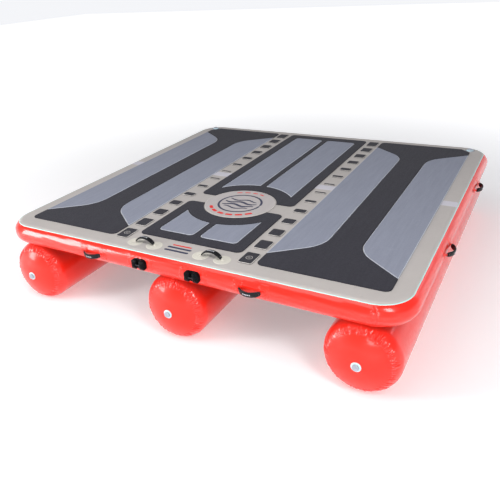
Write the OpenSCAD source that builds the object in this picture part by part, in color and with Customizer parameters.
// Inflatable swim platform: a square drop-stitch deck on three tubular pontoons.
// Millimetres. The origin is on the ground under the middle of the deck.
// +X points right, +Y points to the rear and +Z points up. The front is at -Y.

/* [Deck] */
// Overall width and length across the bulged sidewalls
deck_w = 3048; // [2900:2:3200]
// Thickness from the top sheet to the bottom sheet
deck_t = 152; // [140:1:170]
// How far the sidewall bulges past the flat sheets
bulge = 61; // [55:1:66]
// Outer radius of the deck's corners seen from above
corner_r = 238; // [220:1:300]
// Thickness of the coated fabric
skin_t = 1.5; // [1:0.1:2]
// Angle on the bulge where the top sheet meets the sidewall
seam_angle = 62; // [55:1:68]
// Place of the mid seam along Y
seam_y = 30; // [0:1:60]
// Width of the tape over the mid seam
seam_w = 92; // [60:1:120]
// Spacing of the drop-stitch thread bundles
thread_pitch = 310; // [250:1:400]

/* [Deck pads] */
// Thickness of the foam pads
pad_t = 5; // [3:0.5:8]
// Width of the groove between two pads
groove = 3; // [2:0.5:6]
// Half width of the centre pads
center_half = 402; // [380:1:410]
// Inner and outer edge of the side pads, from the middle line
side_pad_x = [552, 1368]; // [540:1:1372]
// Front and rear edge of the side pads
side_pad_y = [-1350, 1383]; // [-1390:1:1390]
// Inner and outer edge of the dark stem between the side inserts
stem_x = [842, 1068]; // [800:1:1100]
// Place along Y of the middle of the pad pattern
pattern_y = 12; // [0:1:30]
// Number of small pads in each strip
strip_count = 14; // [10:2:14]
// Spacing of the small pads
strip_pitch = 199; // [190:1:200]
// Width of the small pads
strip_w = 98; // [80:1:120]
// Place of the round emblem disc along Y
emblem_y = -528; // [-560:1:-500]
// Radius of the emblem disc
emblem_r = 272; // [240:1:278]

/* [Pontoons] */
// Diameter of a pontoon
pontoon_d = 460; // [440:1:500]
// Length of a pontoon from apex to apex
pontoon_l = 3104; // [3080:2:3106]
// Distance of the outer pontoons from the middle
pontoon_x = 1255; // [1200:1:1270]
// Depth of the domed ends
dome_depth = 135; // [125:1:170]
// Radius of the rounded edge between tube and dome
knuckle_r = 100; // [80:1:110]

/* [Valves] */
// Radius of the valve's flange
flange_r = 30; // [28:0.5:32]
// Travel of the push button
button_travel = 5; // [4:0.5:5]
// Place of the deck valves, from the middle and along Y
deck_valve = [1358, 1380]; // [1340:1:1385]

/* [Handles] */
// Half of the span between a handle's two hinge ends
handle_half = 72; // [68:1:76]
// Height of a handle's arch
handle_rise = 36; // [32:1:38]
// Width of the handle webbing
strap_w = 34; // [28:1:34]
// Place of the top handles, from the middle and along Y
top_handle = [260, -1378]; // [-1390:1:300]
// Place of the handles along the front and rear walls
end_handle_x = 605; // [500:1:700]
// Places of the handles along the left and right walls
side_handle_y = [-570, 640]; // [-700:1:700]
// Angle that the side handles hang below level
hang = 8; // [0:1:20]
// Place of the tow fittings from the middle of the front wall
tow_x = 205; // [180:1:300]

/* [Hidden] */
$fn = 48;
eps = 0.1;
fit = 0.3;
rad = PI / 180;
half_t = deck_t / 2;
saddle_gap = 1;
deck_z = pontoon_d + saddle_gap + half_t;
deck_top = deck_z + half_t;
bulge_r = (half_t * half_t + bulge * bulge) / (2 * bulge);
corner_c = deck_w / 2 - corner_r;
bulge_c = corner_r - bulge_r;
flat_angle = asin(half_t / bulge_r);
flat_x = bulge_r - bulge;
edge_x = corner_c + bulge_c;
flat_half = edge_x + flat_x;
tape_t = 0.6;
pad_z = deck_top + tape_t + eps;
patch_t = 1.2;
trim_w = 8;
sheet_gap = 0.5;
joint_tape_turn = 6;
joint_tape_sweep = 9.6;
joint_tape_angle = [-58, 56];
thread_d = 3;
center_rear_y = [-444, 1380];
center_front_y = [-1260, -610];
insert_x = [28, 310];
insert_arc = 402;
rear_insert_y = [emblem_y, 1280];
front_insert_y = [-1158, emblem_y];
side_insert_y = [-1190, 1215];
side_slope = 0.8;
pad_corner = 42;
insert_corner = 34;
insert_sharp = 4;
insert_bend = 250;
chamfer_corner = 8;
side_chamfer = 80;
strip_x = 482;
strip_growth = 19.3;
strip_min = 28;
strip_shift = -11;
strip_corner = 17;
dome_half_angle = 2 * atan((dome_depth - knuckle_r) / (pontoon_d / 2 - knuckle_r));
crown_r = knuckle_r + (pontoon_d / 2 - knuckle_r) / sin(dome_half_angle);
tube_l = pontoon_l - 2 * dome_depth;
band_angle = 46;
band_t = 0.8;
saddle_x = 118;
saddle_foot = 38;
saddle_l = 2500;
valve_flat_r = 34;
crown_flat = sqrt(crown_r * crown_r - valve_flat_r * valve_flat_r);
crown_sag = crown_r - crown_flat;
skin_hole_r = 19.5;
barrel_r = 19;
flange_t = 3;
neck_r = 17;
neck_top = 12;
socket_r = 13;
socket_floor = 5;
bore_r = 12;
seat_z = -10;
seat_hole_r = 9.5;
barrel_end = -14;
boss_r = 4.7;
spoke_h = 2.6;
stem_hole_r = 2.7;
stem_r = 2.4;
button_r = 7;
spring_solid = 6;
button_z = seat_z + spring_solid + button_travel;
button_t = 3.5;
seal_r = 12;
seal_t = 3;
seal_gap = 0.15;
nut_t = 5;
valve_patch_r = 42;
tether_r = 21;
tether_w = 8;
tether_t = 1.5;
coil_r = 4.1;
wire_r = 0.5;
coil_turns = 4;
coil_steps = 12;
wire_sides = 6;
cap_in_r = 18.3;
cap_out_r = 20.2;
cap_z = [5.2, 12.6];
cap_top = 14.8;
hinge_x = 25.5;
hinge_z = 6.4;
hinge_r = 1.2;
tongue_w = 7;
tether_turn = 235;
axis_lift = 8;
wall_lift = 9;
wall_handle_z = 5;
strap_t = 2.2;
strap_end_w = 18;
strap_taper = 6;
anchor_l = 24;
anchor_w = 24;
roll_r = 3;
roll_end = handle_half + 12;
grip_half = 66;
grip_w = 36;
grip_t = 11;
patch_r = 56;
wall_patch_w = 60;
wall_patch_angle = [-28, 36];
arch_r = (handle_half * handle_half + handle_rise * handle_rise) / (2 * handle_rise);
arch_half_angle = asin(handle_half / arch_r);
tow_z = 5;
tow_pin_r = 4;
tow_pin_out = 22;
tow_pin_l = 78;
tow_patch_w = 200;
tow_patch_angle = [-50, 46];
tow_flange = [60, 36];
tow_flange_t = 6;
tow_flange_corner = 33;
lobe_r = 25;
lobe_gap = 12;
lobe_h = 70;
lobe_depth = 14;
lobe_round = 45;
lobe_corner = 23;
PONTOON_X = [-pontoon_x, 0, pontoon_x];
// Each valve: its place, whether it faces up, how far its tether is turned, and the patch under it
VALVES = concat(
    [for (x = PONTOON_X) [[x, crown_sag - pontoon_l / 2, pontoon_d / 2], false, tether_turn, 0]],
    [for (s = [-1, 1]) [[s * deck_valve.x, deck_valve.y, deck_top], true, 90 - 45 * s, patch_t + eps]]
);
// Each side handle: its wall, counted from +X anticlockwise, and its place along that wall
SIDE_HANDLES = [
    [3, -end_handle_x], [3, end_handle_x], [1, end_handle_x], [1, -end_handle_x],
    [2, -side_handle_y[0]], [2, -side_handle_y[1]], [0, side_handle_y[0]], [0, side_handle_y[1]]
];

// ---------------------------------------------------------------- outlines

function unit(v) = v / norm(v);

function polar(r, a) = [r * cos(a), r * sin(a)];

// Points of the arc that rounds corner b of the path a, b, c
function corner_arc(a, b, c, r, n = 8) =
    let(u = unit(a - b), v = unit(c - b), half = acos(u * v) / 2)
    let(o = b + unit(u + v) * r / sin(half), p = b + u * r / tan(half) - o)
    let(q = b + v * r / tan(half) - o, a0 = atan2(p.y, p.x), a1 = atan2(q.y, q.x))
    let(sweep = (a1 - a0 + 540) % 360 - 180)
    [for (i = [0:n]) o + polar(r, a0 + sweep * i / n)];

// A closed outline with each corner rounded by its own radius
function rounded(pts, radii) =
    let(n = len(pts))
    [for (i = [0:n - 1])
        each radii[i] == 0 ? [pts[i]]
            : corner_arc(pts[(i + n - 1) % n], pts[i], pts[(i + 1) % n], radii[i])];

// An anticlockwise outline grown by d on every side
function grown(pts, d) =
    let(n = len(pts))
    [for (i = [0:n - 1])
        let(u = unit(pts[i] - pts[(i + n - 1) % n]), v = unit(pts[(i + 1) % n] - pts[i]))
        let(p = [u.y, -u.x], q = [v.y, -v.x])
        pts[i] + d * (p + q) / (1 + p * q)];

function box_outline(x, y) = [[x[0], y[0]], [x[1], y[0]], [x[1], y[1]], [x[0], y[1]]];

function all_round(pts, r) = rounded(pts, [for (p = pts) r]);

// Part of a ring between two angles
module arc_band(r_in, r_out, a0, a1) {
    intersection() {
        difference() {
            circle(r_out);
            circle(r_in);
        }
        polygon([[0, 0], for (i = [0:4]) polar(2 * r_out, a0 + (a1 - a0) * i / 4)]);
    }
}

module rounded_square(half, r) {
    polygon(all_round(box_outline([-half, half], [-half, half]), r));
}

// ---------------------------------------------------------------- deck

// A section drawn outwards from the centre of the sidewall's bulge, run all round the deck
module around_deck() {
    for (k = [0:3]) {
        rotate(90 * k) {
            translate([corner_c, corner_c, deck_z]) rotate_extrude(angle = 90)
                translate([bulge_c, 0]) children();
            translate([edge_x, corner_c, deck_z]) rotate([90, 0, 0])
                linear_extrude(height = 2 * corner_c) children();
        }
    }
}

// A place on wall k: +X points outwards, +Y along the wall, from the centre of the bulge
module on_wall(k, along) {
    rotate(90 * k) translate([edge_x, along, deck_z]) children();
}

// A curved patch on a wall, from angle a0 to a1 on the bulge
module wall_patch(k, along, width, lift, thickness, a0, a1) {
    on_wall(k, along) translate([0, width / 2, 0]) rotate([90, 0, 0])
        linear_extrude(height = width)
            arc_band(bulge_r + lift, bulge_r + lift + thickness, a0, a1);
}

// A flat sheet with the shoulder that turns down to the sidewall, at the top or the bottom
module deck_sheet(side) {
    z = side > 0 ? deck_top - skin_t : deck_z - half_t;
    translate([0, 0, z]) linear_extrude(height = skin_t)
        rounded_square(flat_half, bulge_c + flat_x);
    around_deck() scale([1, side])
        arc_band(bulge_r - skin_t, bulge_r, seam_angle + 0.2, flat_angle);
}

module top_sheet_half(front) {
    y = front ? seam_y - sheet_gap : seam_y + sheet_gap - deck_w;
    color("#bdb5ad") difference() {
        deck_sheet(1);
        translate([-deck_w, y, 0]) cube([2 * deck_w, deck_w, 2 * deck_top]);
        for (s = [-1, 1]) {
            translate([s * deck_valve.x, deck_valve.y, deck_z])
                cylinder(r = skin_hole_r, h = deck_t);
        }
    }
}

module deck_top_sheet_front() { top_sheet_half(true); }

module deck_top_sheet_rear() { top_sheet_half(false); }

module deck_bottom_sheet() {
    color("#8d8a8c") deck_sheet(-1);
}

module deck_sidewall() {
    color("#e8402f") around_deck() arc_band(bulge_r - skin_t, bulge_r, -seam_angle, seam_angle);
}

module sidewall_joint_tape() {
    color("#e8402f") translate([corner_c, -corner_c, deck_z]) rotate(joint_tape_turn - 90)
        rotate_extrude(angle = joint_tape_sweep) translate([bulge_c, 0])
            arc_band(bulge_r + eps, bulge_r + eps + tape_t, joint_tape_angle[0], joint_tape_angle[1]);
}

module drop_stitch_threads() {
    h = deck_t - 2 * skin_t - 2 * eps;
    n = floor(flat_half / thread_pitch - 0.5);
    color("white") for (i = [-n:n], j = [-n:n]) {
        translate([i * thread_pitch, j * thread_pitch, deck_z - h / 2]) cylinder(d = thread_d, h = h);
    }
}

module edge_trim() {
    half = trim_w / 2 / bulge_r / rad;
    color("#cfeae4") around_deck()
        arc_band(bulge_r + eps, bulge_r + eps + tape_t, seam_angle - half, seam_angle + half);
}

module mid_seam_tape() {
    color("#cdc9d2") {
        translate([-flat_half, seam_y - seam_w / 2, deck_top]) cube([2 * flat_half, seam_w, tape_t]);
        wall_patch(0, seam_y, seam_w, 0, tape_t, seam_angle + 4, flat_angle);
        wall_patch(2, -seam_y, seam_w, 0, tape_t, seam_angle + 4, flat_angle);
    }
}

// ---------------------------------------------------------------- pads

module pad() {
    translate([0, 0, pad_z]) linear_extrude(height = pad_t) children();
}

module mirrored_x() {
    children();
    mirror([1, 0, 0]) children();
}

// Outline of the right side pad, anticlockwise from its front inner corner
function side_pad_outline() = rounded([
    [side_pad_x[0], side_pad_y[0]], [side_pad_x[1], side_pad_y[0]],
    [side_pad_x[1], side_pad_y[1] - side_chamfer], [side_pad_x[1] - side_chamfer, side_pad_y[1]],
    [side_pad_x[0], side_pad_y[1]]
], [pad_corner, pad_corner, chamfer_corner, chamfer_corner, pad_corner]);

// Outline of a side insert between the pad's edge x0 and the stem's edge x1
function side_insert_outline(x0, x1, d) =
    let(drop = abs(x1 - x0) * side_slope, y = side_insert_y)
    let(pts = [[x0, y[0]], [x1, y[0] + drop], [x1, y[1] - drop], [x0, y[1]]])
    let(ccw = x1 > x0 ? pts : [pts[1], pts[0], pts[3], pts[2]], g = grown(ccw, d))
    let(sharp = insert_sharp, bend = insert_bend)
    rounded(g, x1 > x0 ? [sharp, bend, bend, sharp] : [bend, sharp, sharp, bend]);

module side_insert_shapes(d) {
    polygon(side_insert_outline(side_pad_x[0], stem_x[0], d));
    polygon(side_insert_outline(side_pad_x[1], stem_x[1], d));
}

module side_pad() {
    color("#3e3c44") pad() difference() {
        polygon(side_pad_outline());
        side_insert_shapes(groove);
    }
}

module side_pad_left() { mirror([1, 0, 0]) side_pad(); }

module side_pad_right() { side_pad(); }

module side_inserts() {
    color("#8c919e") pad() mirrored_x() side_insert_shapes(0);
}

// The four centre inserts, grown by d, with their edges towards the emblem cut to an arc
module center_insert_shapes(y, d) {
    x = [insert_x[0] - d, insert_x[1] + d];
    difference() {
        mirrored_x() polygon(all_round(box_outline(x, [y[0] - d, y[1] + d]), insert_corner));
        translate([0, emblem_y]) circle(insert_arc - d);
    }
}

module center_pad(y, insert_y) {
    color("#3e3c44") pad() difference() {
        polygon(all_round(box_outline([-center_half, center_half], y), pad_corner));
        translate([0, emblem_y]) circle(emblem_r + 2 * groove);
        center_insert_shapes(insert_y, groove);
    }
}

module center_pad_rear() { center_pad(center_rear_y, rear_insert_y); }

module center_pad_front() { center_pad(center_front_y, front_insert_y); }

module center_inserts() {
    color("#8c919e") pad() {
        center_insert_shapes(rear_insert_y, 0);
        center_insert_shapes(front_insert_y, 0);
    }
}

// Small pads in two strips: longest at the ends and shortest at the middle
module strip_pads() {
    color("#4a4750") pad() mirrored_x() for (i = [0:strip_count - 1]) {
        place = i - (strip_count - 1) / 2;
        half = (strip_min + strip_growth * (abs(place) - 0.5)) / 2;
        y = pattern_y + strip_shift + place * strip_pitch;
        x = [strip_x - strip_w / 2, strip_x + strip_w / 2];
        polygon(all_round(box_outline(x, [y - half, y + half]), min(strip_corner, 0.8 * half)));
    }
}

module emblem_disc() {
    color("#c9c2b8") pad() translate([0, emblem_y]) circle(emblem_r);
}

// ---------------------------------------------------------------- pontoons

// The tube with its rounded ends, standing on its axis
module tube_skin() {
    rotate_extrude() {
        translate([pontoon_d / 2 - skin_t, -tube_l / 2]) square([skin_t, tube_l]);
        for (s = [-1, 1]) {
            translate([pontoon_d / 2 - knuckle_r, s * tube_l / 2]) scale([1, s])
                arc_band(knuckle_r - skin_t, knuckle_r, 0, 90 - dome_half_angle);
        }
    }
}

module pontoon_skin(x) {
    color("#e8402f") translate([x, 0, pontoon_d / 2]) rotate([90, 0, 0]) tube_skin();
}

module pontoon_left_skin() { pontoon_skin(PONTOON_X[0]); }

module pontoon_middle_skin() { pontoon_skin(PONTOON_X[1]); }

module pontoon_right_skin() { pontoon_skin(PONTOON_X[2]); }

// A domed end panel. One with a valve is flat round the valve's hole.
module end_panel(with_valve) {
    translate([0, 0, pontoon_l / 2 - crown_r]) rotate_extrude() difference() {
        union() {
            arc_band(crown_r - skin_t, crown_r, 90.2 - dome_half_angle, 90);
            if (with_valve) {
                translate([0, crown_flat - skin_t]) square([valve_flat_r + 2, skin_t]);
            }
        }
        if (with_valve) {
            translate([0, crown_flat]) square([valve_flat_r, crown_sag + 1]);
            translate([0, crown_r - 20]) square([skin_hole_r, 40]);
        }
    }
}

module pontoon_end_panels() {
    color("#e8402f") for (x = PONTOON_X) {
        translate([x, 0, pontoon_d / 2]) {
            rotate([90, 0, 0]) end_panel(true);
            rotate([-90, 0, 0]) end_panel(false);
        }
    }
}

module pontoon_seam_bands() {
    color("#d93a2b") for (x = PONTOON_X, s = [-1, 1]) {
        translate([x, 0, pontoon_d / 2]) rotate([90 * s, 0, 0])
            translate([0, 0, tube_l / 2]) rotate_extrude()
                translate([pontoon_d / 2 - knuckle_r, 0])
                    arc_band(knuckle_r + eps, knuckle_r + eps + band_t, band_angle, 89 - dome_half_angle);
    }
}

// Two webs on each pontoon that join it to the deck's bottom sheet
module pontoon_saddle_strips() {
    r = pontoon_d / 2 + eps;
    top = pontoon_d / 2 + saddle_gap - eps;
    low = sqrt(r * r - saddle_x * saddle_x) + fit;
    lean = acos(saddle_x / r);
    color("#d93a2b") for (x = PONTOON_X, s = [0, 1]) {
        translate([x, saddle_l / 2, pontoon_d / 2]) mirror([s, 0, 0]) rotate([90, 0, 0])
            linear_extrude(height = saddle_l) {
                translate([saddle_x, low]) square([skin_t, top - low]);
                translate([saddle_x, top - skin_t]) square([saddle_foot, skin_t]);
                arc_band(r, r + skin_t, lean - saddle_foot / r / rad, lean);
            }
    }
}

// ---------------------------------------------------------------- valves

// Places a valve drawn with +Z out of the skin and its tether towards +X
module at_valve(i) {
    v = VALVES[i];
    translate(v[0]) rotate(v[1] ? [0, 0, 0] : [90, 0, 0]) rotate([0, 0, v[2]])
        translate([0, 0, v[3]]) children();
}

module deck_valve_patches() {
    color("#a9a9b4") for (s = [-1, 1]) {
        translate([s * deck_valve.x, deck_valve.y, deck_top + eps]) difference() {
            cylinder(r = valve_patch_r, h = patch_t);
            translate([0, 0, -1]) cylinder(r = skin_hole_r, h = patch_t + 2);
        }
    }
}

module valve_body() {
    difference() {
        union() {
            translate([0, 0, eps]) cylinder(r = flange_r, h = flange_t);
            translate([0, 0, eps + 1]) cylinder(r = neck_r, h = neck_top - eps - 1);
            translate([0, 0, barrel_end]) cylinder(r = barrel_r, h = 2 * eps + 1 - barrel_end);
        }
        translate([0, 0, socket_floor]) cylinder(r = socket_r, h = neck_top);
        translate([0, 0, seat_z]) cylinder(r = bore_r, h = socket_floor - seat_z + 1);
        translate([0, 0, barrel_end - 1]) cylinder(r = seat_hole_r, h = seat_z - barrel_end + 2);
    }
    valve_spider();
}

// Three spokes and a boss that guide the poppet's stem and carry its spring
module valve_spider() {
    z = barrel_end + 0.6;
    difference() {
        union() {
            translate([0, 0, z]) cylinder(r = boss_r, h = seat_z - z);
            for (a = [30, 150, 270]) {
                rotate(a) translate([stem_hole_r + 0.2, -1, z]) cube([seat_hole_r - 2, 2, spoke_h]);
            }
        }
        translate([0, 0, barrel_end]) cylinder(r = stem_hole_r, h = seat_z - barrel_end + 1);
    }
}

module valve_bodies() {
    color("#eef0f2") for (i = [0:4]) at_valve(i) valve_body();
}

module valve_backing_nuts() {
    color("#c8cacf") for (i = [0:4]) at_valve(i)
        translate([0, 0, -VALVES[i][3] - skin_t - eps - nut_t]) difference() {
            cylinder(r = flange_r, h = nut_t);
            translate([0, 0, -1]) cylinder(r = barrel_r + fit, h = nut_t + 2);
        }
}

// A ring round the neck with a short strap to the cap's hinge
module valve_tethers() {
    z = flange_t + 2 * eps;
    color("#d5d8dc") for (i = [0:4]) at_valve(i) translate([0, 0, z]) difference() {
        union() {
            cylinder(r = tether_r, h = tether_t);
            translate([neck_r, -tether_w / 2, 0])
                cube([hinge_x + tether_t - neck_r, tether_w, tether_t]);
        }
        translate([0, 0, -1]) cylinder(r = neck_r + fit, h = tether_t + 2);
    }
}

// One point of the wire's outline, k of wire_sides, at step s of the coil
function coil_point(s, k, pitch) =
    let(a = 360 * s / coil_steps, p = polar(wire_r, 360 * k / wire_sides), r = coil_r + p.x)
    [r * cos(a), r * sin(a), wire_r + pitch * s / coil_steps + p.y];

module valve_spring(i) {
    last = coil_turns * coil_steps;
    pitch = (button_z - seat_z - 2 * eps - 2 * wire_r) / coil_turns;
    points = [for (s = [0:last], k = [0:wire_sides - 1]) coil_point(s, k, pitch)];
    sides = [for (s = [0:last - 1], k = [0:wire_sides - 1])
        let(n = (k + 1) % wire_sides, a = s * wire_sides, b = a + wire_sides)
        each [[a + k, b + n, a + n], [a + k, b + k, b + n]]];
    first_end = [for (k = [0:wire_sides - 1]) k];
    last_end = [for (k = [wire_sides - 1:-1:0]) last * wire_sides + k];
    color("silver") at_valve(i) translate([0, 0, seat_z + eps])
        polyhedron(points, concat(sides, [first_end, last_end]));
}

// The push button with its stem and the seal that closes the seat from below
module valve_poppet(i) {
    seal_top = barrel_end - seal_gap;
    color("#b9bcc4") at_valve(i) {
        translate([0, 0, button_z]) cylinder(r = button_r, h = button_t);
        translate([0, 0, seal_top - 1]) cylinder(r = stem_r, h = button_z - seal_top + 2);
        translate([0, 0, seal_top - seal_t]) cylinder(r = seal_r, h = seal_t);
    }
}

// An over-cap with a tongue that ends in a rolled hinge
module valve_cap(i) {
    color("#dfe2e6") at_valve(i) {
        difference() {
            union() {
                translate([0, 0, cap_z[0]]) cylinder(r = cap_out_r, h = cap_top - cap_z[0]);
                translate([cap_out_r - 1, -tongue_w / 2, hinge_z + eps - hinge_r])
                    cube([hinge_x - cap_out_r + 1, tongue_w, 2 * (hinge_r - eps)]);
                translate([hinge_x, tongue_w / 2, hinge_z]) rotate([90, 0, 0])
                    cylinder(r = hinge_r, h = tongue_w);
            }
            translate([0, 0, cap_z[0] - 1]) cylinder(r = cap_in_r, h = cap_z[1] - cap_z[0] + 1);
        }
    }
}

module pontoon_left_valve_spring() { valve_spring(0); }

module pontoon_middle_valve_spring() { valve_spring(1); }

module pontoon_right_valve_spring() { valve_spring(2); }

module deck_left_valve_spring() { valve_spring(3); }

module deck_right_valve_spring() { valve_spring(4); }

module pontoon_left_valve_poppet() { valve_poppet(0); }

module pontoon_middle_valve_poppet() { valve_poppet(1); }

module pontoon_right_valve_poppet() { valve_poppet(2); }

module deck_left_valve_poppet() { valve_poppet(3); }

module deck_right_valve_poppet() { valve_poppet(4); }

module pontoon_left_valve_cap() { valve_cap(0); }

module pontoon_middle_valve_cap() { valve_cap(1); }

module pontoon_right_valve_cap() { valve_cap(2); }

module deck_left_valve_cap() { valve_cap(3); }

module deck_right_valve_cap() { valve_cap(4); }

// ---------------------------------------------------------------- handles
// A handle is drawn with its hinge line along X at the origin and its arch towards +Z.

module arch(r_in, r_out, half_angle, width) {
    translate([0, width / 2, handle_rise - arch_r]) rotate([90, 0, 0])
        linear_extrude(height = width) arc_band(r_in, r_out, 90 - half_angle, 90 + half_angle);
}

// Webbing that narrows towards its rolled ends
module handle_webbing() {
    w = strap_w / 2;
    e = strap_end_w / 2;
    x = [handle_half - strap_taper, handle_half + 2];
    intersection() {
        arch(arch_r - strap_t / 2, arch_r + strap_t / 2, arch_half_angle, strap_w);
        translate([0, 0, -10]) linear_extrude(height = handle_rise + 30)
            polygon([
                [x[0], -w], [x[1], -e], [x[1], e], [x[0], w],
                [-x[0], w], [-x[1], e], [-x[1], -e], [-x[0], -w]
            ]);
    }
    for (s = [-1, 1]) {
        translate([s * (handle_half + roll_end) / 2, 0, 0]) rotate([0, 90, 0])
            cylinder(r = roll_r, h = roll_end - handle_half + 4, center = true);
    }
}

// A padded sleeve round the middle of the webbing
module handle_sleeve() {
    sweep = asin(grip_half / arch_r);
    r = grip_t / 2;
    translate([0, 0, handle_rise - arch_r]) rotate([90, 0, 0]) rotate([0, 0, 90 - sweep])
        rotate_extrude(angle = 2 * sweep) translate([arch_r, 0]) {
            for (s = [-1, 1]) translate([0, s * (grip_w / 2 - r)]) circle(r);
            square([grip_t, grip_w - grip_t], center = true);
        }
}

module handle_grip() {
    difference() {
        handle_sleeve();
        arch(arch_r - strap_t / 2 - fit, arch_r + strap_t / 2 + fit, arch_half_angle,
            strap_w + 2 * fit);
    }
}

// A folded tab on each side that holds the webbing's rolled ends, lift above its patch
module handle_anchors(lift) {
    x = handle_half + 3;
    length = roll_end - x - 1;
    for (s = [0, 1]) {
        mirror([s, 0, 0]) difference() {
            union() {
                translate([x, 0, 0]) rotate([0, 90, 0]) cylinder(r = roll_r + 2, h = length);
                translate([x, -roll_r - 2, eps - lift])
                    cube([length, 2 * roll_r + 4, lift - eps]);
                translate([x, -anchor_w / 2, eps - lift]) cube([anchor_l, anchor_w, strap_t]);
            }
            translate([x - 1, 0, 0]) rotate([0, 90, 0]) cylinder(r = roll_r + fit, h = length + 2);
        }
    }
}

module at_top_handle(s) {
    translate([s * top_handle.x, top_handle.y, deck_top + axis_lift]) children();
}

// Places a side handle on its wall, at an angle below level
module at_side_handle(i, angle) {
    h = SIDE_HANDLES[i];
    on_wall(h[0], h[1]) translate([bulge_r + wall_lift, 0, wall_handle_z])
        rotate([0, 90 + angle, 0]) rotate([0, 0, 90]) children();
}

module top_handle_patches() {
    color("#ded8c6") for (s = [-1, 1], e = [-1, 1]) {
        translate([s * top_handle.x + e * (handle_half + 6), top_handle.y, deck_top + eps])
            cylinder(r = patch_r, h = patch_t);
    }
}

module top_handle_anchors() {
    color("#ded8c6") for (s = [-1, 1]) at_top_handle(s) handle_anchors(axis_lift - patch_t - eps);
}

module top_webbing(s) {
    color("#1c1c20") at_top_handle(s) handle_webbing();
}

module top_grip(s) {
    color("#26262b") at_top_handle(s) handle_grip();
}

module top_handle_left_webbing() { top_webbing(-1); }

module top_handle_right_webbing() { top_webbing(1); }

module top_handle_left_grip() { top_grip(-1); }

module top_handle_right_grip() { top_grip(1); }

module side_handle_patches() {
    color("#e8402f") for (h = SIDE_HANDLES, e = [-1, 1]) {
        wall_patch(h[0], h[1] + e * (handle_half + 14), wall_patch_w, eps, patch_t,
            wall_patch_angle[0], wall_patch_angle[1]);
    }
}

module side_handle_anchors() {
    lift = wall_lift - patch_t - 2 * eps;
    color("#e8402f") for (i = [0:7]) at_side_handle(i, 0) handle_anchors(lift);
}

// The strap with its padded middle, standing out from the wall
module side_handle(i) {
    color("#1c1c20") at_side_handle(i, hang) {
        handle_webbing();
        handle_sleeve();
    }
}

module side_handle_front_left() { side_handle(0); }

module side_handle_front_right() { side_handle(1); }

module side_handle_rear_left() { side_handle(2); }

module side_handle_rear_right() { side_handle(3); }

module side_handle_left_front() { side_handle(4); }

module side_handle_left_rear() { side_handle(5); }

module side_handle_right_front() { side_handle(6); }

module side_handle_right_rear() { side_handle(7); }

// ---------------------------------------------------------------- tow fittings

module tow_fitting_patches() {
    color("#e8402f") for (s = [-1, 1]) {
        wall_patch(3, s * tow_x, tow_patch_w, eps, band_t, tow_patch_angle[0], tow_patch_angle[1]);
    }
}

// An oval flange that follows the wall's bulge
module tow_flange() {
    w = tow_flange.x;
    h = tow_flange.y;
    intersection() {
        translate([0, w, 0]) rotate([90, 0, 0])
            cylinder(r = bulge_r + saddle_gap + tow_flange_t, h = 2 * w);
        translate([0, 0, tow_z]) rotate([90, 0, 90]) linear_extrude(height = 2 * bulge_r)
            polygon(all_round(box_outline([-w, w], [-h, h]), tow_flange_corner));
    }
}

// One of the two rounded cheeks, s on either side of the slot
module tow_lobe(s) {
    intersection() {
        translate([bulge_r + tow_flange_t, s * (lobe_r + lobe_gap / 2), tow_z - lobe_h / 2])
            cylinder(r = lobe_r, h = lobe_h);
        translate([bulge_r - lobe_depth, 2 * lobe_h, tow_z]) rotate([90, 0, 0])
            cylinder(r = lobe_round, h = 4 * lobe_h);
        translate([0, s * (lobe_r + lobe_gap / 2), tow_z]) rotate([90, 0, 90])
            linear_extrude(height = 2 * bulge_r)
                polygon(all_round(box_outline([-lobe_r, lobe_r], [-lobe_h, lobe_h] / 2), lobe_corner));
    }
}

module tow_fitting() {
    difference() {
        union() {
            tow_flange();
            tow_lobe(-1);
            tow_lobe(1);
        }
        translate([0, lobe_h, 0]) rotate([90, 0, 0]) cylinder(r = bulge_r + saddle_gap, h = 2 * lobe_h);
        translate([bulge_r + tow_pin_out, tow_pin_l / 2 + 1, tow_z]) rotate([90, 0, 0])
            cylinder(r = tow_pin_r + eps, h = tow_pin_l + 2);
    }
}

module tow_fittings() {
    color("#17171a") for (s = [-1, 1]) on_wall(3, s * tow_x) tow_fitting();
}

module tow_fitting_pins() {
    color("silver") for (s = [-1, 1]) on_wall(3, s * tow_x)
        translate([bulge_r + tow_pin_out, tow_pin_l / 2, tow_z]) rotate([90, 0, 0])
            cylinder(r = tow_pin_r, h = tow_pin_l);
}

// ---------------------------------------------------------------- build

deck_top_sheet_front();
deck_top_sheet_rear();
deck_bottom_sheet();
deck_sidewall();
sidewall_joint_tape();
drop_stitch_threads();
edge_trim();
mid_seam_tape();
side_pad_left();
side_pad_right();
side_inserts();
center_pad_rear();
center_pad_front();
center_inserts();
strip_pads();
emblem_disc();
pontoon_left_skin();
pontoon_middle_skin();
pontoon_right_skin();
pontoon_end_panels();
pontoon_seam_bands();
pontoon_saddle_strips();
deck_valve_patches();
valve_bodies();
valve_backing_nuts();
valve_tethers();
pontoon_left_valve_spring();
pontoon_middle_valve_spring();
pontoon_right_valve_spring();
deck_left_valve_spring();
deck_right_valve_spring();
pontoon_left_valve_poppet();
pontoon_middle_valve_poppet();
pontoon_right_valve_poppet();
deck_left_valve_poppet();
deck_right_valve_poppet();
pontoon_left_valve_cap();
pontoon_middle_valve_cap();
pontoon_right_valve_cap();
deck_left_valve_cap();
deck_right_valve_cap();
top_handle_patches();
top_handle_anchors();
top_handle_left_webbing();
top_handle_right_webbing();
top_handle_left_grip();
top_handle_right_grip();
side_handle_patches();
side_handle_anchors();
side_handle_front_left();
side_handle_front_right();
side_handle_rear_left();
side_handle_rear_right();
side_handle_left_front();
side_handle_left_rear();
side_handle_right_front();
side_handle_right_rear();
tow_fitting_patches();
tow_fittings();
tow_fitting_pins();
